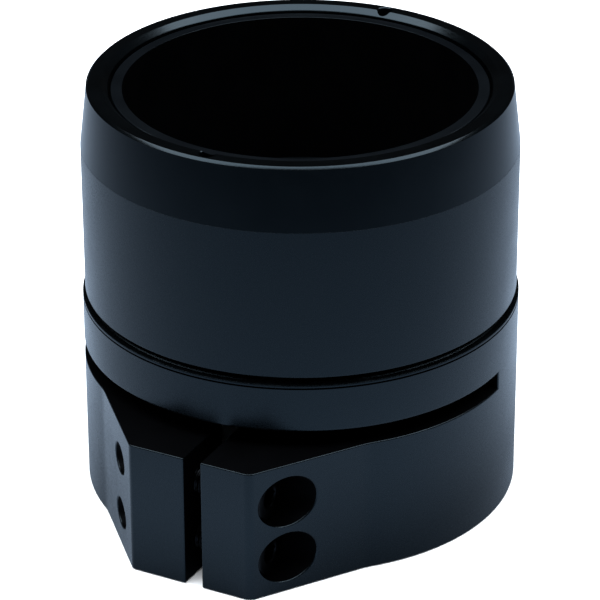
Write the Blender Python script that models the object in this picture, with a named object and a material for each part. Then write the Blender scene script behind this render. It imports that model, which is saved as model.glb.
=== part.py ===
"""Beam collimator with a split clamp: clamp body, fixed guide tube, turning
focus barrel with a tapered front collar, and a lens cell moved by three cam
pins.  Metres, +Z up along the optical axis.  The origin is the centre of the
clamp bore in the plane of the bottom face.  The clamp's nose points to -Y.
"""
import math

import bmesh
import bpy
from mathutils import Vector

MM = 0.001

# ---- overall -------------------------------------------------------------
HEIGHT = 62.63            # bottom face to front rim
N_BIG = 48                # facets of the large turned parts
N_RING = 32               # facets of thin rings

# ---- clamp body ----------------------------------------------------------
BODY_R = 31.94            # lower ring and clamp band
BODY_TOP = 30.30          # shoulder under the focus barrel
BODY_TOP_CHAMFER = 0.45
BASE_CHAMFER = 0.30
CLAMP_BORE_R = 27.0       # grips a 54 mm tube
CLAMP_DEPTH = 23.40       # up to the stop lip
LIP_R = 25.4
LIP_TOP = 24.60
SPIGOT_BORE_R = 27.30     # thread bore for the guide tube
SLOT_Z0, SLOT_Z1 = 20.27, 22.88   # horizontal saw slot, front half only
SLOT_END_Y = 0.10
GAP_X0, GAP_X1 = 1.31, 4.00       # vertical split between the ears
NOSE_Y = -38.45           # front face of both ears
FLANK_R = 31.32           # distance of both flanks from the axis
LEFT_FLANK_DEG = 47.6     # flank normals, measured from the nose direction
RIGHT_FLANK_DEG = 55.75
LEFT_CORNER_R, RIGHT_CORNER_R = 0.9, 1.8

# ---- clamp screws (M4 x 16 socket head) ----------------------------------
SCREW_Y = -33.50
SCREW_Z = (5.50, 14.45)
SCREW_SEAT_X = 8.20
SCREW_LEN = 16.0
SCREW_R = 2.0
HEAD_R, HEAD_H = 3.5, 4.0
HEX_AF, HEX_DEPTH = 3.0, 2.2
CBORE_R = 4.0
CLEAR_R = 2.3
TAP_R = 2.2
TAP_MOUTH_R = 2.4

# ---- guide tube ----------------------------------------------------------
TUBE_R, TUBE_BORE_R = 27.02, 25.40
TUBE_BOTTOM, TUBE_TOP = 24.70, 61.69
SPIGOT_R = 27.10
FLANGE_R, FLANGE_Z0, FLANGE_Z1 = 30.20, 30.40, 32.60
CLIP_GROOVE_R, CLIP_GROOVE_Z0, CLIP_GROOVE_Z1 = 26.30, 51.20, 52.40

# ---- focus barrel and front collar ---------------------------------------
BARREL_R = 31.58
BARREL_BOTTOM, BARREL_TOP = 31.05, 53.30
SKIRT_BORE_R, SHOULDER_Z = 30.50, 33.40
BARREL_BORE_R = 27.35
COUNTER_R, COUNTER_Z = 29.60, 49.80
COLLAR_BOTTOM = 53.40
RIM_R, RIM_CHAMFER = 30.53, 0.43
MOUTH_R, MOUTH_LOW_R, MOUTH_LOW_Z = 28.31, 27.53, 61.98
COLLAR_BORE_R = 27.45
SPIGOT2_R, SPIGOT2_Z = 29.40, 52.60
PIN_HOLE_R, PIN_HOLE_PCR, PIN_HOLE_DEPTH = 1.10, 28.70, 2.4

# ---- cam drive -----------------------------------------------------------
TRAVEL = 8.0              # lens cell travel along the axis
TURN_DEG = 120.0          # barrel rotation for the full travel
PIN_Z = 37.0
PIN_AZ = (60.0, 180.0, 300.0)
FOLLOWER_R = 1.70
GROOVE_HALF = 1.95
GROOVE_R = 29.60
SLOT_HALF = 1.45

# ---- lens cell and optics -------------------------------------------------
CELL_R, CELL_BORE_R, CELL_SEAT_R = 25.10, 22.90, 21.0
CELL_Z0, CELL_Z1 = 25.60, 39.00
LENS_R = 22.70


# --------------------------------------------------------------------------
def clear_scene():
    for ob in list(bpy.data.objects):
        bpy.data.objects.remove(ob, do_unlink=True)
    for me in list(bpy.data.meshes):
        bpy.data.meshes.remove(me)
    for ma in list(bpy.data.materials):
        bpy.data.materials.remove(ma)


def material(name, color, rough, metal, alpha=1.0):
    m = bpy.data.materials.new(name)
    m.use_nodes = True
    b = m.node_tree.nodes["Principled BSDF"]
    b.inputs["Base Color"].default_value = (*color, 1.0)
    b.inputs["Roughness"].default_value = rough
    b.inputs["Metallic"].default_value = metal
    b.inputs["Alpha"].default_value = alpha
    return m


def finish_mesh(me, sharp=30.0):
    bm = bmesh.new()
    bm.from_mesh(me)
    bmesh.ops.remove_doubles(bm, verts=bm.verts, dist=1e-7)
    bmesh.ops.recalc_face_normals(bm, faces=bm.faces)
    bm.to_mesh(me)
    bm.free()
    me.shade_smooth()
    me.set_sharp_from_angle(angle=math.radians(sharp))


def add_object(name, bm, mat=None, loc=(0, 0, 0)):
    me = bpy.data.meshes.new(name)
    bm.to_mesh(me)
    bm.free()
    ob = bpy.data.objects.new(name, me)
    bpy.context.scene.collection.objects.link(ob)
    finish_mesh(me)
    if mat is not None:
        me.materials.append(mat)
    ob.location = Vector(loc) * MM
    return ob


def revolve(profile, n, axis="Z", phase=0.0, arc=None):
    """Turn a closed profile of (radius, height) pairs in millimetres.
    With arc=(start, end) in degrees the ring is open and capped."""
    bm = bmesh.new()
    full = arc is None
    steps = n if full else max(3, int(round(n * (arc[1] - arc[0]) / 360.0)))
    rings = []
    count = steps if full else steps + 1
    for i in range(count):
        if full:
            a = 2 * math.pi * i / steps + phase
        else:
            a = math.radians(arc[0] + (arc[1] - arc[0]) * i / steps)
        ring = []
        for r, h in profile:
            if axis == "Z":
                co = (r * math.cos(a), r * math.sin(a), h)
            else:
                co = (h, r * math.cos(a), r * math.sin(a))
            ring.append(bm.verts.new(Vector(co) * MM))
        rings.append(ring)
    k = len(profile)
    for i in range(count if full else count - 1):
        a, b = rings[i], rings[(i + 1) % count]
        for j in range(k):
            q = (a[j], b[j], b[(j + 1) % k], a[(j + 1) % k])
            bm.faces.new(q)
    if not full:
        bm.faces.new(rings[0])
        bm.faces.new(list(reversed(rings[-1])))
    bmesh.ops.remove_doubles(bm, verts=bm.verts, dist=1e-8)
    bmesh.ops.dissolve_degenerate(bm, edges=bm.edges, dist=1e-8)
    bmesh.ops.recalc_face_normals(bm, faces=bm.faces)
    return bm


def turned_solid(points, n, axis="Z", phase=0.0):
    """Turn an open profile whose first and last points lie on the axis."""
    bm = bmesh.new()
    rings = []
    for r, h in points:
        if r < 1e-9:
            co = (0, 0, h) if axis == "Z" else (h, 0, 0)
            rings.append([bm.verts.new(Vector(co) * MM)])
            continue
        ring = []
        for i in range(n):
            a = 2 * math.pi * i / n + phase
            if axis == "Z":
                co = (r * math.cos(a), r * math.sin(a), h)
            else:
                co = (h, r * math.cos(a), r * math.sin(a))
            ring.append(bm.verts.new(Vector(co) * MM))
        rings.append(ring)
    for a, b in zip(rings, rings[1:]):
        for i in range(n):
            j = (i + 1) % n
            if len(a) == 1:
                bm.faces.new((a[0], b[i], b[j]))
            elif len(b) == 1:
                bm.faces.new((a[i], a[j], b[0]))
            else:
                bm.faces.new((a[i], a[j], b[j], b[i]))
    bmesh.ops.recalc_face_normals(bm, faces=bm.faces)
    return bm


def prism(points, z0, z1):
    bm = bmesh.new()
    lo = [bm.verts.new(Vector((x, y, z0)) * MM) for x, y in points]
    hi = [bm.verts.new(Vector((x, y, z1)) * MM) for x, y in points]
    bm.faces.new(list(reversed(lo)))
    bm.faces.new(hi)
    k = len(points)
    for i in range(k):
        j = (i + 1) % k
        bm.faces.new((lo[i], lo[j], hi[j], hi[i]))
    bmesh.ops.recalc_face_normals(bm, faces=bm.faces)
    return bm


def box(x0, x1, y0, y1, z0, z1):
    return prism([(x0, y0), (x1, y0), (x1, y1), (x0, y1)], z0, z1)


def cutter(name, bm, loc=(0, 0, 0), rot_z=0.0):
    ob = add_object(name, bm, None, loc)
    ob.rotation_euler = (0, 0, rot_z)
    ob.hide_render = True
    ob.display_type = "WIRE"
    return ob


def boolean(ob, other, op="DIFFERENCE"):
    m = ob.modifiers.new(op.lower() + "_" + other.name, "BOOLEAN")
    m.operation = op
    m.object = other
    m.solver = "EXACT"
    return m


def rounded_corner(prev, corner, nxt, radius, steps=5):
    """Points of the fillet arc that replaces a corner of a polygon."""
    p, c, q = Vector(prev), Vector(corner), Vector(nxt)
    u, v = (p - c).normalized(), (q - c).normalized()
    half = math.acos(max(-1.0, min(1.0, u.dot(v)))) / 2.0
    d = radius / math.tan(half)
    centre = c + (u + v).normalized() * (radius / math.sin(half))
    a, b = c + u * d - centre, c + v * d - centre
    total = math.atan2(a.x * b.y - a.y * b.x, a.dot(b))
    out = []
    for i in range(steps + 1):
        t = total * i / steps
        out.append((centre.x + a.x * math.cos(t) - a.y * math.sin(t),
                    centre.y + a.x * math.sin(t) + a.y * math.cos(t)))
    return out


def nose_outline():
    """Plan of the two ears together, seen from above."""
    la, ra = math.radians(LEFT_FLANK_DEG), math.radians(RIGHT_FLANK_DEG)
    nl = Vector((-math.sin(la), -math.cos(la)))
    nr = Vector((math.sin(ra), -math.cos(ra)))
    left = ((FLANK_R - nl.y * NOSE_Y) / nl.x, NOSE_Y)
    right = ((FLANK_R - nr.y * NOSE_Y) / nr.x, NOSE_Y)
    foot_l, foot_r = nl * FLANK_R, nr * FLANK_R
    pts = [tuple(foot_l * 0.93), tuple(foot_l)]
    pts += rounded_corner(foot_l, left, right, LEFT_CORNER_R)
    pts += rounded_corner(left, right, foot_r, RIGHT_CORNER_R)
    pts += [tuple(foot_r), tuple(foot_r * 0.93)]
    return pts


# ---- clamp body ----------------------------------------------------------
def make_clamp_body(mat):
    disc = turned_solid([(0, 0), (BODY_R - BASE_CHAMFER, 0),
                         (BODY_R, BASE_CHAMFER),
                         (BODY_R, BODY_TOP - BODY_TOP_CHAMFER),
                         (BODY_R - BODY_TOP_CHAMFER, BODY_TOP),
                         (0, BODY_TOP)], N_BIG, phase=math.pi / N_BIG)
    ob = add_object("clamp_body", disc, mat)
    boolean(ob, cutter("add_nose", prism(nose_outline(), 0.0, SLOT_Z0 + 0.8)),
            "UNION")
    bore = turned_solid([(0, -2.0), (CLAMP_BORE_R + 2.5, -2.0),
                         (CLAMP_BORE_R, 0.5), (CLAMP_BORE_R, CLAMP_DEPTH),
                         (LIP_R, CLAMP_DEPTH), (LIP_R, LIP_TOP),
                         (SPIGOT_BORE_R, LIP_TOP),
                         (SPIGOT_BORE_R, BODY_TOP + 1.0),
                         (0, BODY_TOP + 1.0)], N_BIG,
                        phase=math.pi / N_BIG)
    boolean(ob, cutter("cut_bore", bore))
    boolean(ob, cutter("cut_slot", box(-40, 40, -45, SLOT_END_Y,
                                       SLOT_Z0, SLOT_Z1)))
    boolean(ob, cutter("cut_gap", box(GAP_X0, GAP_X1, -45, -20,
                                      -1.0, SLOT_Z0 + 0.9)))
    for tag, z in zip(("lower", "upper"), SCREW_Z):
        tool = turned_solid([(0, GAP_X1 - 1.2), (CLEAR_R, GAP_X1 - 1.2),
                             (CLEAR_R, SCREW_SEAT_X),
                             (CBORE_R, SCREW_SEAT_X), (CBORE_R, 26.0),
                             (0, 26.0)], 32, "X", math.pi / 32)
        boolean(ob, cutter("cut_right_" + tag, tool, (0, SCREW_Y, z)))
        tool = turned_solid([(0, -22.0), (TAP_R, -22.0),
                             (TAP_R, GAP_X0 + 1.2), (0, GAP_X0 + 1.2)],
                            24, "X", math.pi / 24)
        boolean(ob, cutter("cut_left_" + tag, tool, (0, SCREW_Y, z)))
    # grub screw hole in the back of the ring
    tool = turned_solid([(0, 26.0), (1.62, 26.0), (1.62, 34.0), (0, 34.0)],
                        20, "X", math.pi / 20)
    boolean(ob, cutter("cut_grub", tool, (0, 0, 27.2), math.pi / 2))
    return ob


def make_clamp_screw(name, z, mat):
    bm = turned_solid([(0, HEAD_H), (HEAD_R - 0.35, HEAD_H),
                       (HEAD_R, HEAD_H - 0.35), (HEAD_R, 0),
                       (SCREW_R, 0), (SCREW_R, -SCREW_LEN + 0.5),
                       (SCREW_R - 0.5, -SCREW_LEN), (0, -SCREW_LEN)],
                      24, "X")
    ob = add_object(name, bm, mat, (SCREW_SEAT_X + 0.12, SCREW_Y, z))
    hexa = turned_solid([(0, HEAD_H - HEX_DEPTH - 0.7),
                         (HEX_AF / math.sqrt(3), HEAD_H - HEX_DEPTH),
                         (HEX_AF / math.sqrt(3), HEAD_H + 1.0),
                         (0, HEAD_H + 1.0)], 6, "X")
    boolean(ob, cutter("hex_" + name, hexa, (SCREW_SEAT_X + 0.12, SCREW_Y, z)))
    return ob


# ---- guide tube ----------------------------------------------------------
def capsule(half, z0, z1, depth0, depth1, steps=6):
    """Radial cutter of a slot with round ends, along +X."""
    pts = []
    for i in range(steps + 1):
        a = math.pi * i / steps
        pts.append((half * math.cos(a), z1 + half * math.sin(a)))
    for i in range(steps + 1):
        a = math.pi + math.pi * i / steps
        pts.append((half * math.cos(a), z0 + half * math.sin(a)))
    bm = bmesh.new()
    lo = [bm.verts.new(Vector((depth0, y, z)) * MM) for y, z in pts]
    hi = [bm.verts.new(Vector((depth1, y, z)) * MM) for y, z in pts]
    bm.faces.new(lo)
    bm.faces.new(list(reversed(hi)))
    k = len(pts)
    for i in range(k):
        j = (i + 1) % k
        bm.faces.new((lo[i], hi[i], hi[j], lo[j]))
    bmesh.ops.recalc_face_normals(bm, faces=bm.faces)
    return bm


def make_guide_tube(mat):
    c = 0.20
    prof = [(TUBE_BORE_R, TUBE_BOTTOM), (TUBE_BORE_R, TUBE_TOP - c),
            (TUBE_BORE_R + c, TUBE_TOP), (TUBE_R - c, TUBE_TOP),
            (TUBE_R, TUBE_TOP - c),
            (TUBE_R, CLIP_GROOVE_Z1), (CLIP_GROOVE_R, CLIP_GROOVE_Z1),
            (CLIP_GROOVE_R, CLIP_GROOVE_Z0), (TUBE_R, CLIP_GROOVE_Z0),
            (TUBE_R, FLANGE_Z1), (FLANGE_R, FLANGE_Z1),
            (FLANGE_R, 32.25), (29.45, 32.25), (29.45, 31.25),
            (FLANGE_R, 31.25), (FLANGE_R, FLANGE_Z0),
            (SPIGOT_R, FLANGE_Z0), (SPIGOT_R, TUBE_BOTTOM)]
    ob = add_object("guide_tube", revolve(prof, N_BIG), mat)
    for i, az in enumerate(PIN_AZ):
        tool = capsule(SLOT_HALF, PIN_Z, PIN_Z + TRAVEL, 24.0, 29.0)
        boolean(ob, cutter("cut_tube_slot_%d" % i, tool,
                           rot_z=math.radians(az)))
    return ob


# ---- focus barrel --------------------------------------------------------
def cam_groove(az):
    """Cutter of one helical cam groove with its straight entry slot.  The
    groove climbs while it runs clockwise, so turning the barrel
    anticlockwise lifts the pins."""
    bm = bmesh.new()
    r0, r1 = BARREL_BORE_R - 1.2, GROOVE_R
    margin = 4.0
    steps = 18
    sections = []
    for i in range(steps + 1):
        t = -margin + (TURN_DEG + 2 * margin) * i / steps
        z = PIN_Z + TRAVEL * t / TURN_DEG
        a = math.radians(az - t)
        sec = []
        for r in (r0, r1):
            for s in (-1, 1):
                sec.append(Vector((r * math.cos(a), r * math.sin(a),
                                   z + s * GROOVE_HALF)) * MM)
        sections.append([bm.verts.new(v) for v in sec])
    order = (0, 1, 3, 2)
    for a, b in zip(sections, sections[1:]):
        for j in range(4):
            p, q = order[j], order[(j + 1) % 4]
            bm.faces.new((a[p], a[q], b[q], b[p]))
    bm.faces.new([sections[0][j] for j in order])
    bm.faces.new([sections[-1][j] for j in reversed(order)])
    bmesh.ops.recalc_face_normals(bm, faces=bm.faces)
    return bm


def make_barrel(mat):
    prof = [(BARREL_R, BARREL_TOP), (BARREL_R, BARREL_BOTTOM + 0.15),
            (BARREL_R - 0.15, BARREL_BOTTOM), (SKIRT_BORE_R, BARREL_BOTTOM),
            (SKIRT_BORE_R, SHOULDER_Z), (BARREL_BORE_R, SHOULDER_Z),
            (BARREL_BORE_R, COUNTER_Z), (COUNTER_R, COUNTER_Z),
            (COUNTER_R, BARREL_TOP)]
    ob = add_object("focus_barrel", revolve(prof, N_BIG), mat)
    for i, az in enumerate(PIN_AZ):
        boolean(ob, cutter("cut_cam_%d" % i, cam_groove(az)))
        tool = box(BARREL_BORE_R - 1.0, GROOVE_R - 0.25,
                   -GROOVE_HALF + 0.03, GROOVE_HALF - 0.03,
                   SHOULDER_Z - 1.0, PIN_Z - 0.37)
        boolean(ob, cutter("cut_entry_%d" % i, tool,
                           rot_z=math.radians(az + 0.4)))
    return ob


def make_collar(mat):
    prof = [(BARREL_R, COLLAR_BOTTOM), (SPIGOT2_R, COLLAR_BOTTOM),
            (SPIGOT2_R, SPIGOT2_Z), (COLLAR_BORE_R, SPIGOT2_Z),
            (COLLAR_BORE_R, 56.95), (28.15, 56.95), (28.15, 58.25),
            (COLLAR_BORE_R, 58.25), (COLLAR_BORE_R, MOUTH_LOW_Z - 0.1),
            (MOUTH_LOW_R, MOUTH_LOW_Z), (MOUTH_R, HEIGHT),
            (RIM_R - RIM_CHAMFER, HEIGHT), (RIM_R, HEIGHT - RIM_CHAMFER)]
    ob = add_object("front_collar", revolve(prof, N_BIG), mat)
    for i, s in enumerate((-1, 1)):
        tool = turned_solid([(0, HEIGHT - PIN_HOLE_DEPTH - 0.4),
                             (PIN_HOLE_R, HEIGHT - PIN_HOLE_DEPTH),
                             (PIN_HOLE_R, HEIGHT + 1.0), (0, HEIGHT + 1.0)],
                            20)
        boolean(ob, cutter("cut_pin_hole_%d" % i, tool,
                           (0, s * PIN_HOLE_PCR, 0)))
    return ob


# ---- rings between barrel and tube ---------------------------------------
def flat_ring(name, r0, r1, z0, z1, mat, n=N_RING):
    return add_object(name, revolve([(r1, z0), (r1, z1), (r0, z1), (r0, z0)],
                                    n), mat)


def oring(name, r_mid, z_mid, section, mat, n=N_BIG, m=6):
    prof = [(r_mid + section * math.cos(2 * math.pi * i / m),
             z_mid + section * math.sin(2 * math.pi * i / m))
            for i in range(m)]
    return add_object(name, revolve(prof, n), mat)


def make_snap_ring(mat):
    """Circlip: open ring with two lugs, each with a plier hole."""
    z0, z1 = 51.30, 52.30
    bm = revolve([(28.50, z0), (28.50, z1), (26.50, z1), (26.50, z0)],
                 N_RING, arc=(-84.0, 264.0))
    return add_object("snap_ring", bm, mat)


def make_wave_washer(mat, waves=4):
    z_mid, amp, half = 50.90, 0.12, 0.11
    r0, r1, n = 27.45, 29.30, 48
    bm = bmesh.new()
    rings = []
    for i in range(n):
        a = 2 * math.pi * i / n
        z = z_mid + amp * math.cos(waves * a)
        ring = []
        for r, h in ((r1, z - half), (r1, z + half),
                     (r0, z + half), (r0, z - half)):
            ring.append(bm.verts.new(Vector((r * math.cos(a),
                                             r * math.sin(a), h)) * MM))
        rings.append(ring)
    for i in range(n):
        a, b = rings[i], rings[(i + 1) % n]
        for j in range(4):
            bm.faces.new((a[j], b[j], b[(j + 1) % 4], a[(j + 1) % 4]))
    bmesh.ops.recalc_face_normals(bm, faces=bm.faces)
    return add_object("wave_washer", bm, mat)


# ---- lens cell -----------------------------------------------------------
def make_cell(mat):
    g = 24.50
    prof = [(CELL_R, CELL_Z0 + 0.2), (CELL_R, 27.0), (g, 27.0), (g, 29.2),
            (CELL_R, 29.2), (CELL_R, 32.0), (g, 32.0), (g, 34.2),
            (CELL_R, 34.2), (CELL_R, CELL_Z1 - 0.2),
            (CELL_R - 0.2, CELL_Z1), (CELL_BORE_R, CELL_Z1),
            (CELL_BORE_R, 27.2), (CELL_SEAT_R, 27.2),
            (CELL_SEAT_R, CELL_Z0), (CELL_R - 0.2, CELL_Z0)]
    ob = add_object("lens_cell", revolve(prof, N_BIG), mat)
    for i, az in enumerate(PIN_AZ):
        tool = turned_solid([(0, 22.0), (1.15, 22.0), (1.15, 26.0),
                             (0, 26.0)], 20, "X")
        boolean(ob, cutter("cut_cell_pin_%d" % i, tool, (0, 0, PIN_Z),
                           math.radians(az)))
    return ob


def make_cam_pins():
    for tag, az in zip("abc", PIN_AZ):
        bm = turned_solid([(0, 23.15), (0.75, 23.15), (1.0, 23.40),
                           (1.0, 25.20), (1.2, 25.20), (1.2, 27.20),
                           (FOLLOWER_R, 27.20), (FOLLOWER_R, 29.05),
                           (FOLLOWER_R - 0.25, 29.30), (0, 29.30)],
                          14, "X")
        ob = add_object("cam_pin_" + tag, bm,
                        material("cam_pin_" + tag, (0.55, 0.42, 0.18),
                                 0.3, 1.0), (0, 0, PIN_Z))
        ob.rotation_euler = (0, 0, math.radians(az))


def sag(r, radius):
    return radius - math.sqrt(radius * radius - r * r)


def make_lenses(glass):
    def face(z_edge, bulge, steps=4):
        """Points from edge to axis; bulge is the height at the axis."""
        radius = (LENS_R ** 2 + bulge ** 2) / (2 * abs(bulge))
        s = 1 if bulge > 0 else -1
        out = []
        for i in range(steps + 1):
            r = LENS_R * (1 - i / steps)
            out.append((max(r, 0.0), z_edge + s * (abs(bulge)
                                                  - sag(r, radius))))
        return out
    flint = [(0, 27.35), (LENS_R, 27.35)] + face(30.20, -1.60)
    crown = list(reversed(face(31.50, -2.00))) + face(33.00, 2.00)
    add_object("lens_flint", turned_solid(flint, N_RING), glass[0])
    add_object("lens_crown", turned_solid(crown, N_RING), glass[1])


def make_retainer(mat):
    z0, z1 = 33.60, 35.90
    prof = [(LENS_R, z0), (LENS_R, z1), (21.4, z1), (21.0, z1 - 0.4),
            (21.0, z0)]
    ob = add_object("lens_retainer", revolve(prof, N_RING), mat)
    tool = box(-0.6, 0.6, -30, 30, z1 - 0.9, z1 + 1.0)
    boolean(ob, cutter("cut_retainer_slots", tool))
    return ob


def main():
    clear_scene()
    black = (0.012, 0.016, 0.022)
    m = material
    make_clamp_body(m("clamp_body", black, 0.40, 0.6))
    for tag, z in zip(("lower", "upper"), SCREW_Z):
        make_clamp_screw("clamp_screw_" + tag, z,
                         m("clamp_screw_" + tag, (0.02, 0.02, 0.022),
                           0.35, 0.9))
    make_guide_tube(m("guide_tube", (0.01, 0.012, 0.015), 0.5, 0.5))
    grub = turned_solid([(0, 27.45), (0.9, 27.45), (1.4, 27.95),
                         (1.4, 31.3), (0, 31.3)], 20, "X")
    ob = add_object("tube_set_screw", grub,
                    m("tube_set_screw", (0.02, 0.02, 0.022), 0.35, 0.9),
                    (0, 0, 27.2))
    ob.rotation_euler = (0, 0, math.pi / 2)
    hexa = turned_solid([(0, 29.6), (0.75, 30.0), (0.75, 32.5), (0, 32.5)],
                        6, "X")
    boolean(ob, cutter("hex_grub", hexa, (0, 0, 27.2), math.pi / 2))
    make_barrel(m("focus_barrel", black, 0.40, 0.6))
    make_collar(m("front_collar", black, 0.38, 0.6))
    oring("collar_oring", 27.58, 57.60, 0.44,
          m("collar_oring", (0.01, 0.01, 0.01), 0.6, 0.0))
    oring("skirt_oring", 29.98, 31.75, 0.40,
          m("skirt_oring", (0.01, 0.01, 0.01), 0.6, 0.0))
    make_snap_ring(m("snap_ring", (0.25, 0.25, 0.26), 0.3, 1.0))
    make_wave_washer(m("wave_washer", (0.4, 0.4, 0.41), 0.25, 1.0))
    flat_ring("upper_glide_ring", 27.50, 29.30, 49.90, 50.50,
              m("upper_glide_ring", (0.8, 0.79, 0.74), 0.5, 0.0))
    flat_ring("lower_glide_ring", 27.50, 30.20, 32.72, 33.28,
              m("lower_glide_ring", (0.8, 0.79, 0.74), 0.5, 0.0))
    make_cell(m("lens_cell", (0.01, 0.01, 0.012), 0.55, 0.5))
    for tag, z in (("lower", 27.10), ("upper", 32.10)):
        flat_ring("cell_glide_band_" + tag, 24.65, 25.25, z, z + 2.0,
                  m("cell_glide_band_" + tag, (0.8, 0.79, 0.74), 0.5, 0.0))
    make_cam_pins()
    make_lenses((m("lens_flint", (0.85, 0.93, 0.95), 0.05, 0.0, 0.35),
                 m("lens_crown", (0.85, 0.95, 0.93), 0.05, 0.0, 0.35)))
    flat_ring("lens_spacer", 21.4, LENS_R, 30.36, 30.96,
              m("lens_spacer", (0.02, 0.02, 0.02), 0.5, 0.8))
    make_retainer(m("lens_retainer", (0.015, 0.015, 0.018), 0.45, 0.6))


main()
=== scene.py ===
"""Looks of the beam collimator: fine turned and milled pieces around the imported
CAD frame, bead-blasted black anodised aluminium, black-oxide screws, coated
glass, a pale studio floor and one overhead softbox."""

import math

import bmesh
import bpy
import numpy as np
from mathutils import Matrix, Quaternion, Vector


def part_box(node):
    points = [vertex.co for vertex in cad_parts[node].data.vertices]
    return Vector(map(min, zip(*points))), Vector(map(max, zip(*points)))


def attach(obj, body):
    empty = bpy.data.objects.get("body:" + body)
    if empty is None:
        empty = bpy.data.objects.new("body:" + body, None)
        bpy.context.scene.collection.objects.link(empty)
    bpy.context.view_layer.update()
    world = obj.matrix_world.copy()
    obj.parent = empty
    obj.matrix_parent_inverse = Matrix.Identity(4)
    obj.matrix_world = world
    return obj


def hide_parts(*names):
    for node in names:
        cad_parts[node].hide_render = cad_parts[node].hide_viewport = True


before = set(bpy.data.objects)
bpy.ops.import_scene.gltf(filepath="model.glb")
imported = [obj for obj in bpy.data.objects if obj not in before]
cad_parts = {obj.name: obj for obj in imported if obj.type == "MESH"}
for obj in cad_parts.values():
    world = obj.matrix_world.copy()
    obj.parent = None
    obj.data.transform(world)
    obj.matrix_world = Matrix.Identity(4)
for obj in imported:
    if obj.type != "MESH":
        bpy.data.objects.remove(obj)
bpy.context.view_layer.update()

MM = 0.001
TAU = 2 * math.pi

# ---- dimensions in millimetres, the same as the CAD's ---------------------
HEIGHT = 62.63
BODY_R, BODY_TOP, BODY_TOP_CHAMFER, BASE_CHAMFER = 31.94, 30.30, 0.45, 0.30
CLAMP_BORE_R, CLAMP_DEPTH, LIP_R, LIP_TOP, SPIGOT_BORE_R = 27.0, 23.40, 25.4, 24.60, 27.30
SLOT_Z0, SLOT_Z1, SLOT_END_Y = 20.27, 22.88, 0.02
GAP_X0, GAP_X1 = 1.31, 4.00
NOSE_Y, FLANK_R = -38.45, 31.32
LEFT_FLANK_DEG, RIGHT_FLANK_DEG = 47.6, 55.75
LEFT_CORNER_R, RIGHT_CORNER_R = 0.9, 1.8
SCREW_Y, SCREW_Z, SCREW_SEAT_X, SCREW_LEN = -33.50, (5.50, 14.45), 8.20, 16.0
SCREW_R, HEAD_R, HEAD_H, HEX_AF, HEX_DEPTH = 2.0, 3.5, 4.0, 3.0, 2.2
CBORE_R, CLEAR_R, TAP_R = 4.0, 2.3, 2.2
TUBE_R, TUBE_BORE_R, TUBE_BOTTOM, TUBE_TOP = 27.02, 25.40, 24.70, 61.69
SPIGOT_R, FLANGE_R, FLANGE_Z0, FLANGE_Z1 = 27.10, 30.20, 30.40, 32.60
CLIP_GROOVE_R, CLIP_GROOVE_Z0, CLIP_GROOVE_Z1 = 26.30, 51.20, 52.40
BARREL_R, BARREL_BOTTOM, BARREL_TOP = 31.58, 31.05, 53.30
SKIRT_BORE_R, SHOULDER_Z, BARREL_BORE_R = 30.50, 33.40, 27.35
COUNTER_R, COUNTER_Z = 29.60, 49.80
COLLAR_BOTTOM, RIM_R, RIM_CHAMFER = 53.40, 30.53, 0.43
MOUTH_R, MOUTH_LOW_R, MOUTH_LOW_Z, COLLAR_BORE_R = 28.31, 27.53, 61.98, 27.45
SPIGOT2_R, SPIGOT2_Z = 29.40, 52.60
PIN_HOLE_R, PIN_HOLE_PCR, PIN_HOLE_DEPTH = 1.10, 28.70, 2.4
TRAVEL, TURN_DEG, PIN_Z, PIN_AZ = 8.0, 120.0, 37.0, (60.0, 180.0, 300.0)
FOLLOWER_R, GROOVE_HALF, GROOVE_R, SLOT_HALF = 1.70, 1.95, 29.60, 1.45
CELL_R, CELL_BORE_R, CELL_SEAT_R, CELL_Z0, CELL_Z1 = 25.10, 22.90, 21.0, 25.60, 39.00
LENS_R = 22.70

N_BIG, N_SMALL = 288, 96


# ---- mesh helpers ---------------------------------------------------------
def fillet(prev, corner, nxt, radius, max_deg=14.0):
    """Arc points that replace a corner of a polygon in the plane."""
    p, c, q = Vector(prev), Vector(corner), Vector(nxt)
    u, v = (p - c).normalized(), (q - c).normalized()
    half = math.acos(max(-1.0, min(1.0, u.dot(v)))) / 2.0
    if radius <= 0 or half > math.radians(88.5):
        return [tuple(corner)]
    d = radius / math.tan(half)
    limit = 0.48 * min((p - c).length, (q - c).length)
    if d > limit:
        d = limit
        radius = d * math.tan(half)
    centre = c + (u + v).normalized() * (radius / math.sin(half))
    a, b = c + u * d - centre, c + v * d - centre
    total = math.atan2(a.x * b.y - a.y * b.x, a.dot(b))
    steps = max(2, int(math.ceil(abs(math.degrees(total)) / max_deg)))
    out = []
    for i in range(steps + 1):
        t = total * i / steps
        out.append((centre.x + a.x * math.cos(t) - a.y * math.sin(t),
                    centre.y + a.x * math.sin(t) + a.y * math.cos(t)))
    return out


def rounded(profile, radius=0.08):
    """Closed profile with every corner rounded.  An entry may carry its own
    radius as a third number."""
    k = len(profile)
    out = []
    for i in range(k):
        a, b, c = profile[i - 1], profile[i], profile[(i + 1) % k]
        r = b[2] if len(b) > 2 else radius
        out += fillet(a[:2], b[:2], c[:2], r)
    clean = []
    for p in out:
        if not clean or math.hypot(p[0] - clean[-1][0], p[1] - clean[-1][1]) > 1e-5:
            clean.append(p)
    return clean


def place(axis, r, h, a):
    if axis == "Z":
        return Vector((r * math.cos(a), r * math.sin(a), h)) * MM
    return Vector((h, r * math.cos(a), r * math.sin(a))) * MM


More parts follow.
